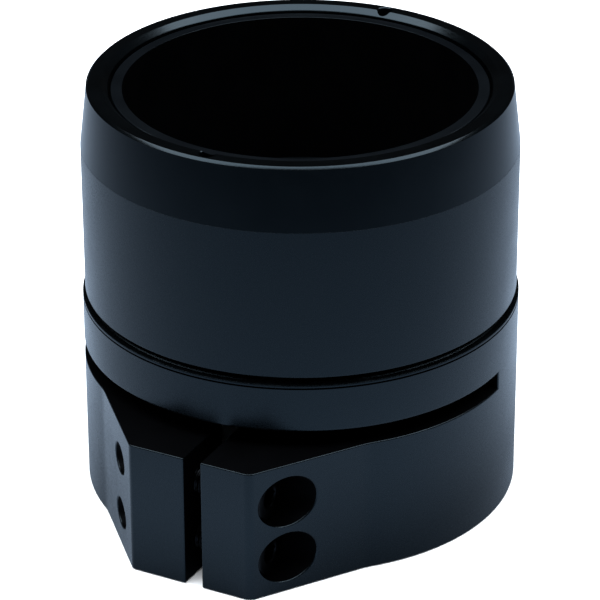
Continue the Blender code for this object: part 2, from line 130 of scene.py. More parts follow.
def revolve(profile, n, axis="Z", phase=0.0, arc=None):
    bm = bmesh.new()
    full = arc is None
    steps = n if full else max(3, int(round(n * (arc[1] - arc[0]) / 360.0)))
    count = steps if full else steps + 1
    rings = []
    for i in range(count):
        a = TAU * i / steps + phase if full else math.radians(
            arc[0] + (arc[1] - arc[0]) * i / steps)
        rings.append([bm.verts.new(place(axis, p[0], p[1], a)) for p in profile])
    k = len(profile)
    for i in range(count if full else count - 1):
        a, b = rings[i], rings[(i + 1) % count]
        for j in range(k):
            bm.faces.new((a[j], b[j], b[(j + 1) % k], a[(j + 1) % k]))
    if not full:
        bm.faces.new(rings[0])
        bm.faces.new(list(reversed(rings[-1])))
    bmesh.ops.recalc_face_normals(bm, faces=bm.faces)
    return bm


def turned(points, n, axis="Z", phase=0.0, wobble=None):
    """Solid of revolution whose first and last points lie on the axis.
    wobble(angle, height, radius) may change a point's radius."""
    bm = bmesh.new()
    rings = []
    for p in points:
        r, h = p[0], p[1]
        if r < 1e-9:
            rings.append([bm.verts.new(place(axis, 0.0, h, 0.0))])
            continue
        ring = []
        for i in range(n):
            a = TAU * i / n + phase
            rr = wobble(a, h, r) if wobble else r
            ring.append(bm.verts.new(place(axis, rr, h, a)))
        rings.append(ring)
    for a, b in zip(rings, rings[1:]):
        for i in range(n):
            j = (i + 1) % n
            if len(a) == 1:
                bm.faces.new((a[0], b[i], b[j]))
            elif len(b) == 1:
                bm.faces.new((a[i], a[j], b[0]))
            else:
                bm.faces.new((a[i], a[j], b[j], b[i]))
    bmesh.ops.recalc_face_normals(bm, faces=bm.faces)
    return bm


def rounded_open(points, radius):
    """Like rounded, for an open profile whose ends stay where they are."""
    out = [tuple(points[0][:2])]
    for a, b, c in zip(points, points[1:], points[2:]):
        r = b[2] if len(b) > 2 else radius
        out += fillet(a[:2], b[:2], c[:2], r)
    out.append(tuple(points[-1][:2]))
    return out


def prism(points, z0, z1):
    bm = bmesh.new()
    lo = [bm.verts.new(Vector((x, y, z0)) * MM) for x, y in points]
    hi = [bm.verts.new(Vector((x, y, z1)) * MM) for x, y in points]
    bm.faces.new(list(reversed(lo)))
    bm.faces.new(hi)
    k = len(points)
    for i in range(k):
        j = (i + 1) % k
        bm.faces.new((lo[i], lo[j], hi[j], hi[i]))
    bmesh.ops.recalc_face_normals(bm, faces=bm.faces)
    return bm


def block(x0, x1, y0, y1, z0, z1):
    return prism([(x0, y0), (x1, y0), (x1, y1), (x0, y1)], z0, z1)


def moved(bm, loc=(0, 0, 0), rot_z=0.0):
    bmesh.ops.transform(bm, verts=bm.verts, matrix=Matrix.Translation(Vector(loc) * MM)
                        @ Matrix.Rotation(rot_z, 4, "Z"))
    return bm


def make_object(name, bm):
    me = bpy.data.meshes.new(name)
    bm.to_mesh(me)
    bm.free()
    ob = bpy.data.objects.new(name, me)
    bpy.context.scene.collection.objects.link(ob)
    return ob


def combine(base, tools):
    """Exact booleans on bmesh solids: tools is a list of (op, bmesh)."""
    ob = make_object("work", base)
    others = []
    for op, bm in tools:
        other = make_object("tool", bm)
        others.append(other)
        m = ob.modifiers.new("b", "BOOLEAN")
        m.operation, m.object, m.solver = op, other, "EXACT"
    dg = bpy.context.evaluated_depsgraph_get()
    dg.update()
    me = bpy.data.meshes.new_from_object(ob.evaluated_get(dg))
    bm = bmesh.new()
    bm.from_mesh(me)
    for o in [ob, *others]:
        old = o.data
        bpy.data.objects.remove(o, do_unlink=True)
        bpy.data.meshes.remove(old)
    bpy.data.meshes.remove(me)
    bmesh.ops.remove_doubles(bm, verts=bm.verts, dist=2e-7)
    bmesh.ops.dissolve_degenerate(bm, edges=bm.edges, dist=1e-7)
    return bm


def round_edges(bm, width, segments=3, min_deg=28.0, keep=None):
    """Rounds the convex sharp edges by width millimetres."""
    bm.normal_update()
    edges = []
    for e in bm.edges:
        if len(e.link_faces) != 2:
            continue
        if e.calc_face_angle_signed(0.0) > math.radians(min_deg):
            if keep is None or keep(e):
                edges.append(e)
    bmesh.ops.bevel(bm, geom=edges, offset=width * MM, segments=segments,
                    profile=0.5, affect="EDGES", offset_type="OFFSET",
                    clamp_overlap=False)
    return bm


def finished(name, bm, mat, body, node=None, sharp=32.0, weighted=True):
    ob = make_object(name, bm)
    me = ob.data
    me.validate()
    me.shade_smooth()
    me.set_sharp_from_angle(angle=math.radians(sharp))
    if weighted:
        w = ob.modifiers.new("face_weighted", "WEIGHTED_NORMAL")
        w.keep_sharp = True
        w.weight = 60
    me.materials.append(mat)
    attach(ob, body)
    if node:
        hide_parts(node)
        lo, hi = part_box(node)
        co = np.array([v.co for v in me.vertices])
        off = max(max(abs(a - b) for a, b in zip(co.min(0), lo)),
                  max(abs(a - b) for a, b in zip(co.max(0), hi)))
        if off > 0.0004:
            print("box of", name, "differs from the CAD node by", round(off * 1000, 3), "mm")
    return ob


# ---- materials ------------------------------------------------------------
def nodes_of(name):
    m = bpy.data.materials.new(name)
    m.use_nodes = True
    nt = m.node_tree
    return m, nt, nt.nodes["Principled BSDF"]


def add(nt, kind, **values):
    n = nt.nodes.new(kind)
    for k, v in values.items():
        setattr(n, k, v)
    return n


def noise(nt, coords, scale, detail=2.0, rough=0.5, stretch=None):
    src = coords
    if stretch:
        mp = add(nt, "ShaderNodeMapping")
        mp.inputs["Scale"].default_value = stretch
        nt.links.new(coords, mp.inputs["Vector"])
        src = mp.outputs["Vector"]
    n = add(nt, "ShaderNodeTexNoise")
    n.inputs["Scale"].default_value = scale
    n.inputs["Detail"].default_value = detail
    n.inputs["Roughness"].default_value = rough
    nt.links.new(src, n.inputs["Vector"])
    return n.outputs["Fac"]


def ramp(nt, value, stops):
    r = add(nt, "ShaderNodeValToRGB")
    el = r.color_ramp.elements
    while len(el) > 1:
        el.remove(el[-1])
    el[0].position, el[0].color = stops[0][0], (*stops[0][1], 1.0)
    for pos, col in stops[1:]:
        e = el.new(pos)
        e.color = (*col, 1.0)
    nt.links.new(value, r.inputs["Fac"])
    return r.outputs["Color"]


def remap(nt, value, lo, hi, a=0.3, b=0.7):
    n = add(nt, "ShaderNodeMapRange")
    n.inputs["From Min"].default_value = a
    n.inputs["From Max"].default_value = b
    n.inputs["To Min"].default_value = lo
    n.inputs["To Max"].default_value = hi
    nt.links.new(value, n.inputs["Value"])
    return n.outputs["Result"]


def bump(nt, height, strength, distance, normal=None):
    n = add(nt, "ShaderNodeBump")
    n.inputs["Strength"].default_value = strength
    n.inputs["Distance"].default_value = distance
    nt.links.new(height, n.inputs["Height"])
    if normal is not None:
        nt.links.new(normal, n.inputs["Normal"])
    return n.outputs["Normal"]


def anodised(name, dark, light, rough, tint, ior, grain=0.35, lathe=0.0, grain_scale=5200.0):
    """Black anodised aluminium: a bead-blasted grain of about 0.15 mm, cloudy
    dye and sheen, and, with lathe, fine turning rings along the axis."""
    m, nt, b = nodes_of(name)
    tc = add(nt, "ShaderNodeTexCoord").outputs["Object"]
    cloud = noise(nt, tc, 170.0, 3.0, 0.55)
    fine = noise(nt, tc, grain_scale, 2.0, 0.6)
    col = ramp(nt, cloud, [(0.30, dark), (0.72, light)])
    nt.links.new(col, b.inputs["Base Color"])
    spread = add(nt, "ShaderNodeMath", operation="ADD")
    nt.links.new(remap(nt, cloud, -0.022, 0.022), spread.inputs[0])
    nt.links.new(remap(nt, fine, rough - 0.05, rough + 0.05), spread.inputs[1])
    nt.links.new(spread.outputs[0], b.inputs["Roughness"])
    b.inputs["Metallic"].default_value = 0.0
    b.inputs["IOR"].default_value = ior
    b.inputs["Specular Tint"].default_value = (*tint, 1.0)
    normal = bump(nt, fine, grain, 0.00001)
    if lathe > 0:
        rings = noise(nt, tc, 1.0, 3.0, 0.7, stretch=(12.0, 12.0, 9000.0))
        normal = bump(nt, rings, lathe, 0.000006, normal)
    nt.links.new(normal, b.inputs["Normal"])
    return m


def steel(name, dark, light, rough, metallic=1.0, scale=2600.0, grain=0.25, stretch=None):
    m, nt, b = nodes_of(name)
    tc = add(nt, "ShaderNodeTexCoord").outputs["Object"]
    cloud = noise(nt, tc, 420.0, 4.0, 0.6)
    fine = noise(nt, tc, scale, 3.0, 0.6, stretch=stretch)
    nt.links.new(ramp(nt, cloud, [(0.32, dark), (0.70, light)]), b.inputs["Base Color"])
    nt.links.new(remap(nt, fine, rough - 0.07, rough + 0.07), b.inputs["Roughness"])
    b.inputs["Metallic"].default_value = metallic
    nt.links.new(bump(nt, fine, grain, 0.000008), b.inputs["Normal"])
    return m


def plastic(name, dark, light, rough, ior=1.45, scale=1800.0, grain=0.2):
    m, nt, b = nodes_of(name)
    tc = add(nt, "ShaderNodeTexCoord").outputs["Object"]
    cloud = noise(nt, tc, 260.0, 4.0, 0.6)
    fine = noise(nt, tc, scale, 3.0, 0.6)
    nt.links.new(ramp(nt, cloud, [(0.30, dark), (0.72, light)]), b.inputs["Base Color"])
    nt.links.new(remap(nt, fine, rough - 0.06, rough + 0.06), b.inputs["Roughness"])
    b.inputs["IOR"].default_value = ior
    nt.links.new(bump(nt, fine, grain, 0.00001), b.inputs["Normal"])
    return m


def glass(name, ior, coat, thin=(0.93, 0.97, 0.95), thick=(0.96, 0.97, 0.99)):
    """Coated optical glass, clear or filter-tinted, with a faint coloured
    anti-reflection film."""
    m, nt, b = nodes_of(name)
    tc = add(nt, "ShaderNodeTexCoord").outputs["Object"]
    film = noise(nt, tc, 45.0, 2.0, 0.5)
    nt.links.new(ramp(nt, film, [(0.35, thin), (0.65, thick)]),
                 b.inputs["Base Color"])
    nt.links.new(remap(nt, noise(nt, tc, 900.0, 3.0, 0.6), 0.012, 0.03), b.inputs["Roughness"])
    b.inputs["IOR"].default_value = ior
    b.inputs["Transmission Weight"].default_value = 1.0
    b.inputs["Specular Tint"].default_value = (*coat, 1.0)
    return m


BLUE = (0.60, 0.80, 0.94)
DARK, LIGHT = (0.0001, 0.0002, 0.0003), (0.0003, 0.0005, 0.0007)
mat_clamp = anodised("black_anodised_clamp", DARK, LIGHT, 0.28, BLUE, 1.34, 0.35)
mat_barrel = anodised("black_anodised_barrel", DARK, LIGHT, 0.28, BLUE, 1.33, 0.45)
mat_collar = anodised("black_anodised_collar", DARK, LIGHT, 0.20, BLUE, 1.33, 0.25, 0.10)
mat_tube = anodised("black_anodised_tube", (0.0003, 0.0005, 0.0009), (0.0006, 0.0009, 0.0014),
                    0.34, BLUE, 1.33, 0.3, 0.2)
mat_cell = anodised("black_anodised_cell", DARK, LIGHT, 0.42, BLUE, 1.33, 0.4, 0.2)
# flat black paint in the guide tube's bore; on the clamp's saw cuts, holes and bore the same material is
# painted shade
mat_black_paint_and_shade = anodised("flat_black_bore_and_painted_shade", (0.0001, 0.0001, 0.00015), (0.0003, 0.0003, 0.0004),
                    0.60, (0.5, 0.55, 0.65), 1.12, 0.3, 0.0)
mat_screw = steel("black_oxide_steel", (0.003, 0.0034, 0.004), (0.008, 0.0085, 0.0095), 0.36)
mat_spring = steel("spring_steel", (0.30, 0.31, 0.33), (0.46, 0.47, 0.49), 0.30)
mat_brass = steel("turned_brass", (0.50, 0.34, 0.12), (0.66, 0.47, 0.19), 0.26,
                  stretch=(6.0, 1.0, 1.0))
mat_rubber = plastic("nitrile_rubber", (0.006, 0.006, 0.007), (0.012, 0.012, 0.013), 0.62)
mat_ptfe = plastic("ptfe", (0.70, 0.69, 0.65), (0.80, 0.79, 0.76), 0.48, 1.36)
mat_crown = glass("coated_crown_glass", 1.517, (0.55, 0.85, 0.70))
mat_flint = glass("filter_glass", 1.62, (0.60, 0.80, 0.95), (0.0030, 0.0034, 0.0040), (0.0040, 0.0046, 0.0050))


# ---- clamp body -----------------------------------------------------------
BLEND_R = 12.0            # cutter radius where the flanks run into the round body


def plan(psi, r):
    """Plan point at an angle measured from the nose direction towards +X."""
    return (r * math.sin(psi), -r * math.cos(psi))


def nose_points():
    """Plan of the two ears together, from where the left flank leaves the
    round body to where the right flank meets it again, and the two angles."""
    s = math.sqrt((BODY_R + BLEND_R) ** 2 - (FLANK_R + BLEND_R) ** 2)
    swing = math.atan(s / (FLANK_R + BLEND_R))
    sides = []
    for psi, sign in ((-math.radians(LEFT_FLANK_DEG), 1), (math.radians(RIGHT_FLANK_DEG), -1)):
        n = Vector(plan(psi, 1.0))
        t = Vector((math.cos(psi), math.sin(psi))) * sign
        c = n * (FLANK_R + BLEND_R) + t * s
        start = math.atan2(-c.y, -c.x)          # towards the axis: touches the round body
        end = math.atan2(-n.y, -n.x)            # towards the flank
        d = (end - start + math.pi) % TAU - math.pi
        arc = [tuple(c + Vector((math.cos(start + d * k / 8), math.sin(start + d * k / 8))) * BLEND_R)
               for k in range(9)]
        corner = n * FLANK_R
        corner = corner + t * ((NOSE_Y - corner.y) / t.y)
        sides.append((psi + sign * swing, arc, tuple(corner)))
    (psi_l, arc_l, corner_l), (psi_r, arc_r, corner_r) = sides
    pts = arc_l + fillet(arc_l[-1], corner_l, corner_r, LEFT_CORNER_R, 6.0)
    pts += fillet(corner_l, corner_r, arc_r[-1], RIGHT_CORNER_R, 6.0) + arc_r[::-1]
    dense = [pts[0]]                 # extra points, so the round part above stays round
    for a, b in zip(pts, pts[1:]):
        turn = abs(math.atan2(a[0] * b[1] - a[1] * b[0], a[0] * b[0] + a[1] * b[1]))
        k = max(1, int(math.ceil(turn / (TAU / N_BIG))))
        dense += [(a[0] + (b[0] - a[0]) * i / k, a[1] + (b[1] - a[1]) * i / k)
                  for i in range(1, k + 1)]
    return dense, psi_l, psi_r


def clamp_blank():
    """Turned blank with the ears, one skin: nose outline below the saw slot,
    round above it."""
    nose, psi_l, psi_r = nose_points()
    step = TAU / N_BIG
    around = TAU - (psi_r - psi_l)
    count = int(around / step)
    circle = [plan(psi_r + around * k / (count + 1), BODY_R) for k in range(1, count + 1)]
    low = nose + circle
    shared = [False] * len(nose) + [True] * len(circle)
    shared[0] = shared[len(nose) - 1] = True
    # on the round part, outline points that crowd together share one vertex
    keep = list(range(len(low)))
    for i in range(1, len(nose) - 1):
        a, b = Vector(nose[keep[i - 1]]), Vector(nose[i])
        if abs(math.atan2(a.x * b.y - a.y * b.x, a.dot(b))) < 0.6 * step:
            keep[i] = keep[i - 1]
    bm = bmesh.new()

    def ring_at(points, z, dr=0.0):
        out = []
        for x, y in points:
            r = math.hypot(x, y)
            k = (BODY_R + dr) / r if dr is not None else 1.0
            if dr is None or keep[len(out)] == len(out):
                out.append(bm.verts.new(Vector((x * k, y * k, z)) * MM))
            else:
                out.append(out[keep[len(out)]])
        return out

    def skin(a, b):
        k = len(a)
        for i in range(k):
            j = (i + 1) % k
            vs = [a[i], a[j], b[j], b[i]]
            vs = [v for n, v in enumerate(vs) if v not in vs[:n]]
            if len(vs) > 2:
                bm.faces.new(vs)

    r0 = ring_at(low, 0.0, None)
    r1 = ring_at(low, 21.5, None)
    r2 = ring_at(low, 21.5, 0.0)
    r2 = [r1[keep[i]] if shared[keep[i]] else r2[i] for i in range(len(low))]
    for v in list(bm.verts):
        if not v.link_faces and v not in r0 and v not in r1 and v not in r2:
            bm.verts.remove(v)
    bm.faces.new(list(reversed(r0)))
    mid = ring_at(low, 19.9, None)
    skin(r0, mid)
    skin(mid, r1)
    skin(r1, r2)
    prev = ring_at(low, 23.25, 0.0)
    skin(r2, prev)
    for dr, z in ((0.0, 29.49), (-0.28, 29.49), (-0.28, 29.77), (0.0, 29.77),
                  (0.0, 30.08), (-0.02, 30.12), (-0.06, 30.14), (-0.90, 30.14),
                  (-1.10, BODY_TOP)):
        nxt = ring_at(low, z, dr)
        skin(prev, nxt)
        prev = nxt
    bm.faces.new([v for i, v in enumerate(prev) if keep[i] == i])
    bmesh.ops.recalc_face_normals(bm, faces=bm.faces)
    return bm


def make_clamp_body():
    half = math.pi / N_BIG
    bore = turned([(0, -2.0), (CLAMP_BORE_R + 2.5, -2.0), (CLAMP_BORE_R, 0.5),
                   (CLAMP_BORE_R, CLAMP_DEPTH), (LIP_R, CLAMP_DEPTH),
                   (LIP_R, LIP_TOP), (SPIGOT_BORE_R, LIP_TOP),
                   (SPIGOT_BORE_R, BODY_TOP + 1.0), (0, BODY_TOP + 1.0)],
                  N_BIG, phase=half)
    tools = [("DIFFERENCE", bore),
             ("DIFFERENCE", block(-40, 40, -45, SLOT_END_Y, SLOT_Z0, SLOT_Z1)),
             ("DIFFERENCE", block(GAP_X0, GAP_X1, -45, -20, -1.0, SLOT_Z0 + 0.9))]
    for z in SCREW_Z:
        right = turned([(0, GAP_X1 - 1.2), (CLEAR_R, GAP_X1 - 1.2), (CLEAR_R, SCREW_SEAT_X),
                        (CBORE_R - 0.14, SCREW_SEAT_X), (CBORE_R - 0.14, 26.0), (0, 26.0)],
                       72, "X", math.pi / 72)
        left = turned([(0, -22.0), (TAP_R, -22.0), (TAP_R, GAP_X0 + 1.2), (0, GAP_X0 + 1.2)],
                      48, "X", math.pi / 48)
        tools += [("DIFFERENCE", moved(right, (0, SCREW_Y + 0.10, z - 0.05))),
                  ("DIFFERENCE", moved(left, (0, SCREW_Y, z)))]
    grub = turned([(0, 26.0), (1.62, 26.0), (1.62, 34.0), (0, 34.0)], 32, "X", math.pi / 32)
    tools.append(("DIFFERENCE", moved(grub, (0, 0, 27.2), math.pi / 2)))
    bm = combine(clamp_blank(), tools)
    bmesh.ops.remove_doubles(bm, verts=bm.verts, dist=1.5e-5)
    ears = [v for v in bm.verts if v.co.y < -0.015 and v.co.z < (SLOT_Z0 + 0.05) * MM]
    inside = set(ears)
    bmesh.ops.dissolve_limit(bm, angle_limit=math.radians(0.35), verts=ears,
                             edges=[e for e in bm.edges if all(v in inside for v in e.verts)])

    def plain(e):
        return not all(v.co.z > 0.0289 and v.co.xy.length > 0.0285 for v in e.verts)
    return round_edges(bm, 0.20, 3, 34.0, plain)


clamp = finished("clamp_ring", make_clamp_body(), mat_clamp, "clamp", "clamp_body")
clamp.data.materials.append(mat_black_paint_and_shade)
for p in clamp.data.polygons:             # painted shade: saw cuts, holes and bore get the flat black material, so they stay black as if unlit
    c, n = p.center / MM, p.normal
    rho = math.hypot(c.x, c.y)
    in_slot = SLOT_Z0 - 0.05 < c.z < SLOT_Z1 + 0.05 and (abs(n.z) > 0.95 or rho < BODY_R - 0.4)
    in_gap = c.z < SLOT_Z1 and GAP_X0 - 0.05 < c.x < GAP_X1 + 0.05 and c.y < -20 and abs(n.x) > 0.95
    in_bore = rho < LIP_R + 2.6 and c.z < SLOT_Z1 + 2.0 and abs(n.z) < 0.5
    in_hole = c.y < -20 and (abs(n.x) < 0.14 or abs(n.x) > 0.95) and any(
        math.hypot(c.y - SCREW_Y - 0.05, c.z - z) < CBORE_R + 0.02 for z in SCREW_Z)
    if in_slot or in_gap or in_bore or in_hole:
        p.material_index = 1


# ---- clamp screws ---------------------------------------------------------
def screw_mesh():
    """M4 x 16 socket head cap screw along X: helical thread, knurled head,
    hexagon socket.  The head's bearing face is at x = 0."""
    pitch, depth = 0.70, 0.26
    pts = [(0, HEAD_H)]
    pts += fillet((0, HEAD_H), (HEAD_R, HEAD_H), (HEAD_R, 0), 0.42, 12.0)
    pts += [(HEAD_R, HEAD_H * k / 12.0) for k in range(10, 1, -1)]
    pts += [(HEAD_R, 0.30), (HEAD_R - 0.18, 0.0), (SCREW_R + 0.05, 0.0)]
    x = -0.05
    while x > -SCREW_LEN + 0.02:
        pts.append((SCREW_R, x))
        x -= pitch / 8.0
    pts += [(SCREW_R - 0.35, -SCREW_LEN), (0, -SCREW_LEN)]

    def shape(a, h, r):
        if h > 0.29 and r > HEAD_R - 0.02 and h < HEAD_H - 0.41:
            fade = min(1.0, (h - 0.29) / 0.25, (HEAD_H - 0.41 - h) / 0.25)
            return r - 0.13 * fade * (0.5 + 0.5 * math.cos(36 * a))
        if h < -0.3 and r > SCREW_R - 0.01:
            phase = (h / pitch + a / TAU) % 1.0
            tri = abs(2 * phase - 1)
            tip = min(1.0, (h + SCREW_LEN) / 0.7)
            run = min(1.0, (-0.3 - h) / 0.6)
            cut = depth * run * max(0.0, tri - 0.12)
            return (r - cut) * (0.80 + 0.20 * tip)
        return r

    head = turned(pts, 144, "X", 0.0, shape)
    hexa = turned([(0, HEAD_H - HEX_DEPTH - 0.7), (HEX_AF / math.sqrt(3), HEAD_H - HEX_DEPTH),
                   (HEX_AF / math.sqrt(3), HEAD_H + 1.0), (0, HEAD_H + 1.0)], 6, "X")
    mouth = turned([(0, HEAD_H - 0.22), (HEX_AF / math.sqrt(3) - 0.16, HEAD_H - 0.22),
                    (HEX_AF / math.sqrt(3) + 0.20, HEAD_H + 0.14), (0, HEAD_H + 0.14)],
                   64, "X", 0.01)
    return combine(head, [("DIFFERENCE", hexa), ("DIFFERENCE", mouth)])


for tag, z in zip(("lower", "upper"), SCREW_Z):
    bm = moved(screw_mesh(), (SCREW_SEAT_X + 0.12, SCREW_Y, z))
    finished("cap_screw_" + tag, bm, mat_screw, "screw_" + tag, "clamp_screw_" + tag,
             sharp=40.0, weighted=False)

grub = turned([(0, 27.45), (0.9, 27.45), (1.4, 27.95), (1.4, 31.0), (1.1, 31.3), (0, 31.3)],
              48, "X")
grub = combine(grub, [("DIFFERENCE", turned([(0, 29.6), (0.75, 30.0), (0.75, 32.5), (0, 32.5)],
                                            6, "X"))])
finished("grub_screw", moved(grub, (0, 0, 27.2), math.pi / 2), mat_screw, "clamp",
         "tube_set_screw")


# ---- guide tube -----------------------------------------------------------
def capsule(half, z0, z1, depth0, depth1, steps=20):
    pts = []
    for i in range(steps + 1):
        a = math.pi * i / steps
        pts.append((half * math.cos(a), z1 + half * math.sin(a)))
    for i in range(steps + 1):
        a = math.pi + math.pi * i / steps
        pts.append((half * math.cos(a), z0 + half * math.sin(a)))
    bm = bmesh.new()
    lo = [bm.verts.new(Vector((depth0, y, z)) * MM) for y, z in pts]
    hi = [bm.verts.new(Vector((depth1, y, z)) * MM) for y, z in pts]
    bm.faces.new(lo)
    bm.faces.new(list(reversed(hi)))
    k = len(pts)
    for i in range(k):
        j = (i + 1) % k
        bm.faces.new((lo[i], hi[i], hi[j], lo[j]))
    bmesh.ops.recalc_face_normals(bm, faces=bm.faces)
    return bm


def make_guide_tube():
    prof = [(TUBE_BORE_R, TUBE_BOTTOM + 0.15)]
    prof += fillet((TUBE_BORE_R, 60.9), (TUBE_BORE_R, TUBE_TOP), (TUBE_R, TUBE_TOP), 0.04, 30.0)
    prof += fillet((TUBE_BORE_R, TUBE_TOP), (TUBE_R, TUBE_TOP), (TUBE_R, 60.0), 0.16, 15.0)
    outer = [(TUBE_R, CLIP_GROOVE_Z1), (CLIP_GROOVE_R, CLIP_GROOVE_Z1),
             (CLIP_GROOVE_R, CLIP_GROOVE_Z0), (TUBE_R, CLIP_GROOVE_Z0),
             (TUBE_R, FLANGE_Z1), (FLANGE_R, FLANGE_Z1), (FLANGE_R, 32.25),
             (29.45, 32.25), (29.45, 31.25), (FLANGE_R, 31.25), (FLANGE_R, FLANGE_Z0),
             (SPIGOT_R, FLANGE_Z0), (SPIGOT_R, TUBE_BOTTOM), (TUBE_BORE_R + 0.15, TUBE_BOTTOM)]
    prof += outer
    bm = revolve(prof, N_BIG)
    tools = []
    for az in PIN_AZ:
        tools.append(("DIFFERENCE", moved(capsule(SLOT_HALF, PIN_Z, PIN_Z + TRAVEL, 24.0, 29.0),
                                          rot_z=math.radians(az))))
    return combine(bm, tools)


tube = finished("inner_guide_tube", make_guide_tube(), mat_tube, "clamp", "guide_tube", sharp=38.0)
tube.data.materials.append(mat_black_paint_and_shade)
for p in tube.data.polygons:              # the bore is painted flat black
    c = p.center
    if math.hypot(c.x, c.y) < (TUBE_BORE_R + 0.25) * MM and c.z < (TUBE_TOP - 0.10) * MM:
        p.material_index = 1


# ---- focus barrel and front collar ----------------------------------------
def cam_groove(az):
    bm = bmesh.new()
    r0, r1 = BARREL_BORE_R - 1.2, GROOVE_R
    margin, steps = 4.0, 60
    sections = []
    for i in range(steps + 1):
        t = -margin + (TURN_DEG + 2 * margin) * i / steps
        z = PIN_Z + TRAVEL * t / TURN_DEG
        a = math.radians(az - t)
        sec = []
        for r in (r0, r1):
            for s in (-1, 1):
                sec.append(Vector((r * math.cos(a), r * math.sin(a), z + s * GROOVE_HALF)) * MM)
        sections.append([bm.verts.new(v) for v in sec])
    order = (0, 1, 3, 2)
    for a, b in zip(sections, sections[1:]):
        for j in range(4):
            p, q = order[j], order[(j + 1) % 4]
            bm.faces.new((a[p], a[q], b[q], b[p]))
    bm.faces.new([sections[0][j] for j in order])
    bm.faces.new([sections[-1][j] for j in reversed(order)])
    bmesh.ops.recalc_face_normals(bm, faces=bm.faces)
    return bm


def make_barrel():
    prof = rounded([(BARREL_R, BARREL_TOP + 0.045, 0.02), (BARREL_R, BARREL_BOTTOM, 0.30),
                    (SKIRT_BORE_R, BARREL_BOTTOM, 0.08), (SKIRT_BORE_R, SHOULDER_Z, 0.0),
                    (BARREL_BORE_R, SHOULDER_Z, 0.08), (BARREL_BORE_R, COUNTER_Z, 0.0),
                    (COUNTER_R, COUNTER_Z, 0.0), (COUNTER_R, BARREL_TOP + 0.045, 0.05)], 0.0)
    tools = []
    for az in PIN_AZ:
        tools.append(("DIFFERENCE", cam_groove(az)))
        tools.append(("DIFFERENCE", moved(block(BARREL_BORE_R - 1.0, GROOVE_R - 0.25,
                                                -GROOVE_HALF + 0.03, GROOVE_HALF - 0.03,
                                                SHOULDER_Z - 1.0, PIN_Z - 0.37),
                                          rot_z=math.radians(az + 0.4))))
    return combine(revolve(prof, N_BIG), tools)


finished("focus_sleeve", make_barrel(), mat_barrel, "sleeve", "focus_barrel")


def make_collar():
    prof = rounded([(BARREL_R, COLLAR_BOTTOM - 0.045, 0.02), (SPIGOT2_R, COLLAR_BOTTOM - 0.045, 0.0),
                    (SPIGOT2_R, SPIGOT2_Z, 0.08), (COLLAR_BORE_R, SPIGOT2_Z, 0.08),
                    (COLLAR_BORE_R, 56.95, 0.0), (28.15, 56.95, 0.0), (28.15, 58.25, 0.0),
                    (COLLAR_BORE_R, 58.25, 0.0), (COLLAR_BORE_R, MOUTH_LOW_Z - 0.1, 0.03),
                    (MOUTH_LOW_R, MOUTH_LOW_Z, 0.03), (MOUTH_R, HEIGHT, 0.05),
                    (RIM_R - RIM_CHAMFER + 0.07, HEIGHT, 0.06),
                    (RIM_R, HEIGHT - RIM_CHAMFER + 0.07, 0.06)], 0.0)
    tools = []
    for s in (-1, 1):
        hole = turned([(0, HEIGHT - PIN_HOLE_DEPTH - 0.4), (PIN_HOLE_R, HEIGHT - PIN_HOLE_DEPTH),
                       (PIN_HOLE_R, HEIGHT - 0.10), (PIN_HOLE_R + 0.20, HEIGHT + 0.10),
                       (PIN_HOLE_R + 0.20, HEIGHT + 1.0), (0, HEIGHT + 1.0)], 56)
        tools.append(("DIFFERENCE", moved(moved(hole, (0, s * PIN_HOLE_PCR, 0)),
                                          rot_z=math.radians(1.2))))
    return combine(revolve(prof, N_BIG), tools)


finished("tapered_collar", make_collar(), mat_collar, "sleeve", "front_collar", sharp=26.0)


# ---- rings ----------------------------------------------------------------
def ring(name, r0, r1, z0, z1, mat, body, node, edge=0.06, n=N_BIG):
    prof = rounded([(r1, z0), (r1, z1), (r0, z1), (r0, z0)], edge)
    return finished(name, revolve(prof, n), mat, body, node)


def oring(name, r_mid, z_mid, section, mat, body, node):
    m = 20
    prof = [(r_mid + section * math.cos(TAU * i / m), z_mid + section * math.sin(TAU * i / m))
            for i in range(m)]
    return finished(name, revolve(prof, 192), mat, body, node, sharp=60.0, weighted=False)


oring("collar_seal", 27.58, 57.60, 0.44, mat_rubber, "sleeve", "collar_oring")
oring("skirt_seal", 29.98, 31.75, 0.40, mat_rubber, "clamp", "skirt_oring")
ring("glide_washer_upper", 27.50, 29.30, 49.90, 50.50, mat_ptfe, "clamp", "upper_glide_ring")
ring("glide_washer_lower", 27.50, 30.20, 32.72, 33.28, mat_ptfe, "clamp", "lower_glide_ring")


def make_snap_ring():
    prof = rounded([(28.50, 51.30), (28.50, 52.30), (26.50, 52.30), (26.50, 51.30)], 0.08)
    return revolve(prof, 240, arc=(-84.0, 264.0))


finished("retaining_clip", make_snap_ring(), mat_spring, "clamp", "snap_ring")


def make_wave(waves=4, n=240):
    z_mid, amp, half = 50.90, 0.12, 0.11
    r0, r1 = 27.45, 29.30
    prof = rounded([(r1, -half), (r1, half), (r0, half), (r0, -half)], 0.05)
    bm = bmesh.new()
    rings = []
    for i in range(n):
        a = TAU * i / n
        z = z_mid + amp * math.cos(waves * a)
        rings.append([bm.verts.new(place("Z", r, z + h, a)) for r, h in prof])
    k = len(prof)
    for i in range(n):
        a, b = rings[i], rings[(i + 1) % n]
        for j in range(k):
            bm.faces.new((a[j], b[j], b[(j + 1) % k], a[(j + 1) % k]))
    bmesh.ops.recalc_face_normals(bm, faces=bm.faces)
    return bm


finished("wave_spring", make_wave(), mat_spring, "clamp", "wave_washer")


